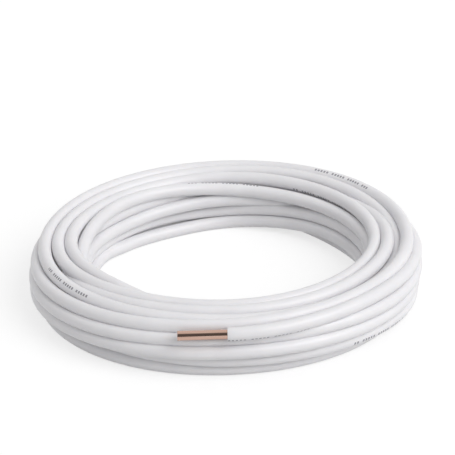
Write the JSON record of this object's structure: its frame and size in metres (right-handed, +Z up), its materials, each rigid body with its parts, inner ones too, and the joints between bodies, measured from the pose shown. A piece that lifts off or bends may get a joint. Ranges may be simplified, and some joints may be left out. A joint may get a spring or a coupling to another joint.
{
  "type": "jacketed copper tube coil",
  "caption": "Flat coil of soft copper tube in a white foam jacket, wound in nested rows, with a bare copper end ready for a fitting.",
  "frame": {"origin": "on the coil's axis, at the floor that the coil lies on", "axes": "Z is up, along the coil's axis; the bare outer tube end is on the -Y side and points to -X"},
  "size_m": [0.4999, 0.5024, 0.0749],
  "materials": {
    "foam_jacket": "smooth foamed polyethylene, slightly satin",
    "drawn_copper": "bright drawn copper, with fine lengthwise drawing lines"
  },
  "bodies": {
    "root": {"jacket_coil": "foam_jacket", "copper_outer_end": "drawn_copper", "copper_inner_end": "drawn_copper"}
  },
  "joints": []
}
